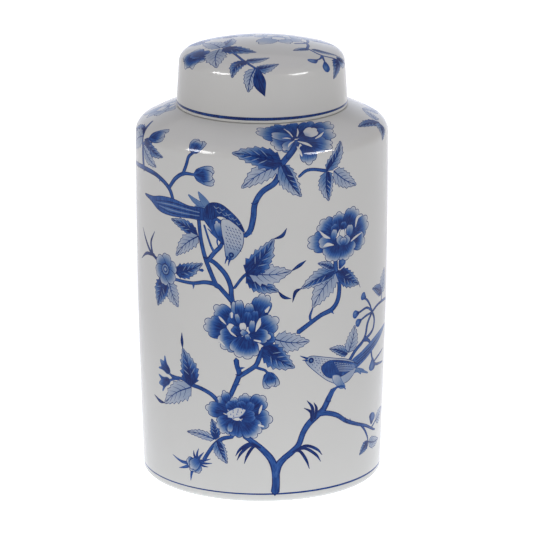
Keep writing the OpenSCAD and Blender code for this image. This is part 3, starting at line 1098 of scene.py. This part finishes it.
def ring(girth, h):
    x = np.arange(AROUND) * 2 * math.pi * girth / AROUND
    return np.stack([x, np.full(AROUND, h)], 1)


def cut_chart(chart, painting):
    """Triangles of the painted surface, cut along the marks, with the mark on each."""
    low, high = chart.h[0], chart.h[-1]
    closed = chart.p[-1, 0] < 0.01
    rows = [low] if closed else [low, high]
    last = low
    for h in chart.h[1:-1]:
        if h - last > ROW_GAP and high - h > (5 * ROW_GAP if closed else ROW_GAP):
            rows.append(h)
            last = h
    points = [ring(chart.girth, h) for h in rows]
    count = AROUND * len(rows)
    edges = [(i, (i + 1) % AROUND) for i in range(AROUND)]
    if not closed:
        edges.append((SEAM, AROUND + SEAM))
    outlines = []
    for pen, shape, *_ in painting.marks:
        outline = pen.laid(shape)
        outline[:, 1] = np.clip(outline[:, 1], low + END_GAP, high - (0.0 if closed else END_GAP))
        outlines.append(outline if turns_left(chart.flatten(outline)) else outline[::-1])
    faces = [list(range(AROUND, 2 * AROUND))] if not closed else []
    holes = len(faces)
    for outline in outlines:
        points.append(outline)
        faces.append(list(range(count, count + len(outline))))
        count += len(outline)
    extra = wash_points(outlines, painting.marks, chart.girth)
    points.append(extra[(extra[:, 1] > low + 2 * END_GAP) & (extra[:, 1] < high - 2 * END_GAP)])
    if closed:
        points.append(np.array([[0.0, high]]))
    flat = chart.flatten(np.vstack(points))
    verts, _, tris, sources, _, owners = delaunay_2d_cdt(
        [Vector(v) for v in flat], edges, faces, 0, 1e-7, True)
    keep = [i for i, own in enumerate(owners) if not holes or 0 not in own]
    tris = np.array([tris[i] for i in keep])
    mark = np.array([max(owners[i]) - holes if owners[i] else UNPAINTED for i in keep])
    places = chart.unflatten(np.array([v[:] for v in verts]))
    where = {}
    for new, old in enumerate(sources):
        for index in old:
            where[index] = new
    rims = []
    for start, h in ((0, low), (AROUND, high))[:1 + holes]:
        rims.append(np.array([where[start + i] for i in range(AROUND)]))
        places[rims[-1]] = ring(chart.girth, h)
    return places, tris, mark, rims, outlines
# Step in the streak noise from one mark to the next, so that no two have the same streaks
MARK_STEP = 7.3


class Form:
    """A closed mesh put together from a painted chart and the plain parts that join it."""

    def __init__(self):
        self.verts = []
        self.count = 0
        self.faces = []
        self.corners = {"normal": [], "uv": [], "cobalt": [], "brush": []}
        self.bare = []

    def add_verts(self, p):
        start = self.count
        self.verts.append(p)
        self.count += len(p)
        return start

    def add_faces(self, faces, normal, uv, cobalt, brush, bare):
        self.faces += faces.tolist()
        for name, values in zip(self.corners, (normal, uv, cobalt, brush)):
            self.corners[name].append(values.reshape(faces.size, -1))
        self.bare += [bare] * len(faces)


def turned(turn, across, up):
    """Points or normals at the given angles round the axis; angle 0 is the front."""
    return np.stack([across * np.sin(turn), -across * np.cos(turn), up + 0 * turn], -1)


def add_lathe(form, section, first_ring, last_ring, uv_at, rests_at):
    """Turns a section into faces. Either end may share a ring of vertices that is there already."""
    turn = np.arange(AROUND) * 2 * math.pi / AROUND
    p = section.points
    steps = [0.0] + [math.dist(a, b) for a, b in zip(p, p[1:])]
    far = np.cumsum(steps) / sum(steps)
    rows = []
    for k, (r, z) in enumerate(p):
        if k and steps[k] < SAME:
            rows.append(rows[-1])
        elif k == 0 and first_ring is not None:
            rows.append(first_ring)
        elif last_ring is not None and k == len(p) - 1:
            rows.append(last_ring)
        elif r < 1e-6:
            rows.append(np.full(AROUND, form.add_verts(np.array([[0.0, 0.0, z]]))))
        else:
            rows.append(form.add_verts(turned(turn, r, z)) + np.arange(AROUND))
    for k, (low, high) in enumerate(zip(rows, rows[1:])):
        if low is high:
            continue
        corners = [(low, 0, k), (low, 1, k), (high, 1, k + 1), (high, 0, k + 1)]
        if low[0] == low[1]:
            corners = [(low, 0.5, k)] + corners[2:]
        elif high[0] == high[1]:
            corners = corners[:2] + [(high, 0.5, k + 1)]
        faces = np.stack([np.roll(row, -1) if step == 1 else row for row, step, _ in corners], 1)
        turns = turn[:, None] + np.array([step for _, step, _ in corners]) * 2 * math.pi / AROUND
        which = [index for _, _, index in corners]
        across, up = np.array(section.normals)[which].T
        bare = all(abs(p[i][1] - rests_at) < LEVEL and p[i][0] > BARE_R for i in (k, k + 1))
        form.add_faces(faces, turned(turns, across, up), uv_at(turns, far[which] + 0 * turns),
                       np.zeros(faces.shape), np.zeros(faces.shape + (3,)), int(bare))


def add_chart(form, chart, painting, uv_at):
    """Adds the painted outside and returns its end rings."""
    places, tris, mark, rims, outlines = cut_chart(chart, painting)
    p = chart.solid(places)
    start = form.add_verts(p)
    facing = np.cross(p[tris[:, 1]] - p[tris[:, 0]], p[tris[:, 2]] - p[tris[:, 0]])
    inward = (facing * chart.outward(places[tris[:, 0]])).sum(1) < 0
    tris = np.where(inward[:, None], tris[:, ::-1], tris)
    corner = places[tris]
    cobalt = np.zeros(tris.shape)
    brush = np.zeros(tris.shape + (3,))
    around = 2 * math.pi * chart.girth
    order = np.argsort(mark, kind="stable")
    for chosen in np.split(order, np.flatnonzero(np.diff(mark[order])) + 1):
        index = mark[chosen[0]]
        if index == UNPAINTED:
            continue
        pen, _, tone, grain = painting.marks[index]
        q = corner[chosen].reshape(-1, 2)
        middle = outlines[index][:, 0].mean()
        near = middle + (q[:, 0] - middle + around / 2) % around - around / 2
        local = pen.lifted(np.stack([near, q[:, 1]], 1))
        strength = tone(local) if callable(tone) else np.full(len(q), float(tone))
        streak = grain(local) if grain else local
        cobalt[chosen] = strength.reshape(-1, 3)
        own_streaks = np.full(len(q), MARK_STEP * index)
        brush[chosen] = np.column_stack([streak * pen.size, own_streaks]).reshape(-1, 3, 3)
    middle = chart.flatten(corner.reshape(-1, 2)).reshape(-1, 3, 2).mean(1)
    middle = np.arctan2(middle[:, 0], -middle[:, 1])[:, None]
    past_middle = (corner[:, :, 0] / chart.girth - middle + math.pi) % (2 * math.pi) - math.pi
    past_seam = (middle - SEAM * 2 * math.pi / AROUND) % (2 * math.pi)
    far = (corner[:, :, 1] - chart.h[0]) / (chart.h[-1] - chart.h[0])
    form.add_faces(tris + start, chart.outward(corner.reshape(-1, 2)),
                   uv_at(past_seam + past_middle, far), cobalt, brush, 0)
    return [rim + start for rim in rims]


def strip(low, high):
    """A bake map that unrolls a part into a level strip."""
    return lambda turn, far: np.stack([turn / (2 * math.pi), low + (high - low) * far], -1)


def disc(x, y, radius, from_middle):
    """A bake map that spreads a part with a closed middle into a disc."""
    def spread(turn, far):
        reach = radius * (far if from_middle else 1 - far)
        return np.stack([x + reach * np.sin(turn), y - reach * np.cos(turn)], -1)
    return spread


def make(form, name, materials):
    """The Blender object of a form, with its attributes, its bake map and its own normals."""
    mesh = bpy.data.meshes.new(name)
    mesh.from_pydata((np.vstack(form.verts) * MM).tolist(), [], form.faces)
    normal, uv, cobalt, brush = (np.vstack(values) for values in form.corners.values())
    mesh.uv_layers.new(name=BAKE_MAP).data.foreach_set("uv", uv.astype(np.float32).ravel())
    mesh.attributes.new("cobalt", "FLOAT", "CORNER").data.foreach_set(
        "value", cobalt.astype(np.float32).ravel())
    mesh.attributes.new("brush", "FLOAT_VECTOR", "CORNER").data.foreach_set(
        "vector", brush.astype(np.float32).ravel())
    for material in materials:
        mesh.materials.append(material)
    mesh.polygons.foreach_set("material_index", np.array(form.bare, np.int32))
    mesh.polygons.foreach_set("use_smooth", np.ones(len(form.faces), bool))
    mesh.normals_split_custom_set(normal.tolist())
    ob = bpy.data.objects.new(name, mesh)
    bpy.context.scene.collection.objects.link(ob)
    return ob


# ---------------------------------------------------------------------------
# Materials
# ---------------------------------------------------------------------------

def set_stops(node, stops):
    """Gives a colour ramp its stops, as (position, colour)."""
    elements = node.color_ramp.elements
    while len(elements) < len(stops):
        elements.new(0.5)
    for element, (position, colour) in zip(elements, stops):
        element.position = position
        element.color = (*colour, 1.0)


class Nodes:
    """Short ways to add and join the nodes of a material."""

    def __init__(self, material):
        material.use_nodes = True
        self.tree = material.node_tree
        self.shader = self.tree.nodes["Principled BSDF"]

    def add(self, kind, inputs=(), **settings):
        node = self.tree.nodes.new("ShaderNode" + kind)
        for name, value in settings.items():
            setattr(node, name, value)
        for name, value in dict(inputs).items():
            self.feed(node.inputs[name], value)
        return node

    def feed(self, socket, value):
        if isinstance(value, bpy.types.NodeSocket):
            self.tree.links.new(value, socket)
        else:
            socket.default_value = value

    def math(self, operation, a, b=0.0, clamp=False):
        return self.add("Math", {0: a, 1: b}, operation=operation, use_clamp=clamp).outputs[0]

    def noise(self, vector, scale, detail=2.0):
        return self.add("TexNoise", {"Vector": vector, "Scale": scale, "Detail": detail}).outputs[0]

    def ramp(self, factor, stops):
        node = self.add("ValToRGB", {"Fac": factor})
        set_stops(node, stops)
        return node.outputs[0]

    def mix(self, factor, a, b):
        node = self.add("Mix", data_type="RGBA")
        self.feed(node.inputs[0], factor)
        self.feed(node.inputs[6], a)
        self.feed(node.inputs[7], b)
        return node.outputs[2]

    def bump(self, height, strength, distance):
        return self.add("Bump", {"Height": height, "Strength": strength,
                                 "Distance": distance}).outputs[0]


def glaze_material():
    """White glaze over cobalt blue, with brush streaks in the blue."""
    material = bpy.data.materials.new("painted_glaze")
    nodes = Nodes(material)
    place = nodes.add("TexCoord").outputs["Object"]
    strength = nodes.add("Attribute", attribute_name="cobalt").outputs["Fac"]
    brush = nodes.add("Attribute", attribute_name="brush").outputs["Vector"]
    streaks = nodes.noise(nodes.add("VectorMath", {0: brush, 1: (1.5, 0.16, 1.0)},
                                    operation="MULTIPLY").outputs[0], 1.0, 3.0)
    pooling = nodes.noise(place, 170.0, 3.0)
    uneven = nodes.math("ADD", nodes.math("MULTIPLY", streaks, 0.7), nodes.math("MULTIPLY", pooling, 0.3))
    strength = nodes.math("MULTIPLY", strength, nodes.math("ADD", uneven, 0.5), clamp=True)
    cloud = nodes.noise(place, 14.0, 2.0)
    white = nodes.mix(cloud, (0.442, 0.445, 0.43, 1.0), (0.465, 0.465, 0.445, 1.0))
    blue = nodes.ramp(strength, [(0.0, (0.456, 0.456, 0.442)), (0.24, (0.22, 0.265, 0.345)),
                                 (0.5, (0.07, 0.135, 0.265)), (0.72, (0.016, 0.066, 0.235)),
                                 (0.86, (0.003, 0.032, 0.155)), (1.0, (0.001, 0.01, 0.08))])
    painted = nodes.math("MULTIPLY", strength, 12.0, clamp=True)
    nodes.feed(nodes.shader.inputs["Base Color"], nodes.mix(painted, white, blue))
    nodes.feed(nodes.shader.inputs["Roughness"], 0.45)
    nodes.feed(nodes.shader.inputs["Specular IOR Level"], 0.05)
    nodes.feed(nodes.shader.inputs["Coat Weight"], 0.6)
    nodes.feed(nodes.shader.inputs["Coat IOR"], 1.25)
    nodes.feed(nodes.shader.inputs["Coat Roughness"], 0.04)
    waves = nodes.math("ADD", nodes.noise(place, 22.0, 1.0),
                       nodes.math("MULTIPLY", nodes.noise(place, 260.0, 2.0), 0.06))
    bump = nodes.bump(waves, 1.0, 0.0004)
    nodes.feed(nodes.shader.inputs["Normal"], bump)
    nodes.feed(nodes.shader.inputs["Coat Normal"], bump)
    return material


def clay_material():
    """Bare fired clay, where the jar and the lid rest."""
    material = bpy.data.materials.new("bare_clay")
    nodes = Nodes(material)
    place = nodes.add("TexCoord").outputs["Object"]
    grain = nodes.noise(place, 900.0, 4.0)
    cloud = nodes.noise(place, 60.0, 3.0)
    tone = nodes.math("ADD", nodes.math("MULTIPLY", grain, 0.4), nodes.math("MULTIPLY", cloud, 0.6))
    nodes.feed(nodes.shader.inputs["Base Color"],
               nodes.ramp(tone, [(0.3, (0.55, 0.46, 0.37)), (0.7, (0.72, 0.65, 0.56))]))
    nodes.feed(nodes.shader.inputs["Roughness"], 0.85)
    nodes.feed(nodes.shader.inputs["Normal"], nodes.bump(grain, 0.6, 0.0003))
    return material


def floor_material():
    """A pale floor that glows from below near the jar, as over a light table."""
    material = bpy.data.materials.new("floor")
    nodes = Nodes(material)
    place = nodes.add("TexCoord").outputs["Object"]
    far = nodes.add("VectorMath", {0: place}, operation="LENGTH").outputs["Value"]
    glow = nodes.ramp(nodes.math("MULTIPLY", far, 0.25), [
        (0.025, (1.0, 1.0, 1.0)), (0.11, (0.25, 0.25, 0.25)), (0.2, (0.38, 0.38, 0.38))])
    nodes.feed(nodes.shader.inputs["Base Color"], (0.85, 0.85, 0.85, 1.0))
    nodes.feed(nodes.shader.inputs["Roughness"], 0.9)
    nodes.feed(nodes.shader.inputs["Specular IOR Level"], 0.2)
    nodes.feed(nodes.shader.inputs["Emission Color"], (0.94, 0.98, 1.04, 1.0))
    nodes.feed(nodes.shader.inputs["Emission Strength"], nodes.math("MULTIPLY", glow, FLOOR_GLOW))
    return material


def backdrop_material():
    """A glow that fades upward, for the dome and the shoulder to mirror."""
    material = bpy.data.materials.new("backdrop")
    nodes = Nodes(material)
    place = nodes.add("SeparateXYZ", {0: nodes.add("TexCoord").outputs["Object"]})
    glow = nodes.ramp(nodes.math("MULTIPLY", place.outputs["Z"], 0.5), [
        (0.3, (1.0, 1.0, 1.0)), (0.5, (0.7, 0.7, 0.7)), (0.7, (0.35, 0.35, 0.35)), (1.0, (0.0, 0.0, 0.0))])
    nodes.feed(nodes.shader.inputs["Base Color"], (0.0, 0.0, 0.0, 1.0))
    nodes.feed(nodes.shader.inputs["Emission Color"], (0.9, 0.95, 1.1, 1.0))
    nodes.feed(nodes.shader.inputs["Emission Strength"], nodes.math("MULTIPLY", glow, BACKDROP_GLOW))
    return material


# ---------------------------------------------------------------------------
# The two pieces
# ---------------------------------------------------------------------------

FLOOR_GLOW = 1.0            # light from the floor close to the jar
SKY_GLOW = 1.3              # the world's light overhead
BACKDROP_GLOW = 1.3         # the backdrop's light at its foot
WINDOW_POWER = 66.0         # watts, for these three
PANEL_POWER = 14.0
FRONT_POWER = 2.2
BAKE_MAP = "OFBake"         # the UV map laid out for the materials to be baked onto
UNDER_STRIP = (0.0, 0.07)   # the jar's places on it, from low to high
INSIDE_STRIP = (0.09, 0.4)
OUTSIDE_STRIP = (0.42, 1.0)
LID_OUTSIDE_DISC = (0.37, 0.63, 0.365)   # the lid's places on its own, as x, y and radius
LID_INSIDE_DISC = (0.83, 0.17, 0.165)
BODY_GIRTH = 83.0
LID_GIRTH = 57.0
BACK = math.pi * BODY_GIRTH

glaze = glaze_material()
clay = clay_material()

under, outside, inside = jar_sections()
chart = Chart(outside, BODY_GIRTH, SHOULDER_Z)
body = Painting(BODY_GIRTH, chart.radius)
ring_line(body, 7.0, 1.1, DEEP)
paint_body(Pen(body, matrix=np.diag([-1.0, 1.0]), offset=(BACK, 0.0)))
paint_body(Pen(body))
flower(Pen(body), -BACK / 2, 264, PEONY_DOME, size=0.8)
jar = Form()
foot_ring, seat_ring = add_chart(jar, chart, body, strip(*OUTSIDE_STRIP))
add_lathe(jar, under, None, foot_ring, strip(*UNDER_STRIP), 0.0)
add_lathe(jar, inside, seat_ring, None, strip(*INSIDE_STRIP), SEAT_Z)
jar_piece = make(jar, "painted_jar", [glaze, clay])
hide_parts("jar")
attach(jar_piece, "jar")

inside, outside = lid_sections()
chart = Chart(outside, LID_GIRTH, 0.0)
top = Painting(LID_GIRTH, chart.radius)
paint_lid(top, chart.h[-1])
lid = Form()
rim_ring, = add_chart(lid, chart, top, disc(*LID_OUTSIDE_DISC, False))
add_lathe(lid, inside, None, rim_ring, disc(*LID_INSIDE_DISC, True), SEAT_Z)
lid_piece = make(lid, "painted_lid", [glaze, clay])
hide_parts("lid")
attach(lid_piece, "lid")


# ---------------------------------------------------------------------------
# Floor, light and camera
# ---------------------------------------------------------------------------

def place_object(name, data):
    ob = bpy.data.objects.new(name, data)
    bpy.context.scene.collection.objects.link(ob)
    return ob


def aim(ob, place, target):
    ob.location = place
    ob.rotation_euler = (Vector(target) - Vector(place)).to_track_quat("-Z", "Y").to_euler()


def softbox(name, place, target, width, height, power):
    light = bpy.data.lights.new(name, "AREA")
    light.shape = "RECTANGLE"
    light.size = width
    light.size_y = height
    light.energy = power
    ob = place_object(name, light)
    ob.visible_camera = False
    aim(ob, place, target)
    return ob


FLOOR_HALF = 6.0            # metres, like all places and sizes from here on
BACKDROP_Y = 2.6
BACKDROP_HALF = 1.5
BACKDROP_TOP = 2.0
WINDOW_DISTANCE = 1.8
WINDOW_RISE = math.radians(28.0)

floor_mesh = bpy.data.meshes.new("floor")
corners = [(-FLOOR_HALF, -FLOOR_HALF, 0), (FLOOR_HALF, -FLOOR_HALF, 0),
           (FLOOR_HALF, FLOOR_HALF, 0), (-FLOOR_HALF, FLOOR_HALF, 0)]
floor_mesh.from_pydata(corners, [], [(0, 1, 2, 3)])
floor_mesh.materials.append(floor_material())
floor = place_object("floor", floor_mesh)

backdrop_mesh = bpy.data.meshes.new("backdrop")
corners = [(-BACKDROP_HALF, BACKDROP_Y, 0), (BACKDROP_HALF, BACKDROP_Y, 0),
           (BACKDROP_HALF, BACKDROP_Y, BACKDROP_TOP), (-BACKDROP_HALF, BACKDROP_Y, BACKDROP_TOP)]
backdrop_mesh.from_pydata(corners, [], [(0, 1, 2, 3)])
backdrop_mesh.materials.append(backdrop_material())
backdrop = place_object("backdrop", backdrop_mesh)
backdrop.visible_camera = False
backdrop.visible_diffuse = False
backdrop.visible_shadow = False

middle = (0.0, 0.0, 0.15)
for name, azimuth in (("window_left", -60.0), ("window_right", 55.0)):
    side = math.radians(azimuth)
    out = WINDOW_DISTANCE * math.cos(WINDOW_RISE)
    place = (out * math.sin(side), -out * math.cos(side), middle[2] + WINDOW_DISTANCE * math.sin(WINDOW_RISE))
    window = softbox(name, place, middle, 0.8, 0.42, WINDOW_POWER)
    window.visible_diffuse = False
panel = softbox("panel_right", (1.0, 2.0, 0.3), middle, 1.2, 0.8, PANEL_POWER)
panel.visible_glossy = False
front = softbox("front", (0.0, -1.3, 0.1), middle, 0.6, 0.2, FRONT_POWER)
front.visible_glossy = False

world = bpy.data.worlds.new("studio")
world.use_nodes = True
tree = world.node_tree
direction = tree.nodes.new("ShaderNodeTexCoord")
axes = tree.nodes.new("ShaderNodeSeparateXYZ")
sky = tree.nodes.new("ShaderNodeValToRGB")
set_stops(sky, [(0.03, (0.78, 0.78, 0.78)), (0.1, (0.27, 0.24, 0.215)), (0.4, (0.3, 0.26, 0.23)),
                (0.9, (0.96, 0.97, 1.06))])
tree.links.new(direction.outputs["Generated"], axes.inputs[0])
tree.links.new(axes.outputs["Z"], sky.inputs["Fac"])
tree.links.new(sky.outputs[0], tree.nodes["Background"].inputs["Color"])
tree.nodes["Background"].inputs["Strength"].default_value = SKY_GLOW
bpy.context.scene.world = world
bpy.context.scene.view_settings.view_transform = "Standard"

# The photograph is taken from the front and slightly above, from well away.
CAMERA_DISTANCE = 2.8
CAMERA_RISE = math.radians(15.7)
FOCAL_PIXELS = 4127.0
FRAME_PIXELS = 533.0
camera_data = bpy.data.cameras.new("camera")
camera_data.sensor_width = 36.0
camera_data.lens = 36.0 * FOCAL_PIXELS / FRAME_PIXELS
camera_data.shift_x = 4.5 / FRAME_PIXELS
camera_data.shift_y = -11.0 / FRAME_PIXELS
camera_data.clip_end = 20.0
camera = place_object("camera", camera_data)
aim(camera, (0.0, -CAMERA_DISTANCE * math.cos(CAMERA_RISE),
             middle[2] + CAMERA_DISTANCE * math.sin(CAMERA_RISE)), middle)
bpy.context.scene.camera = camera
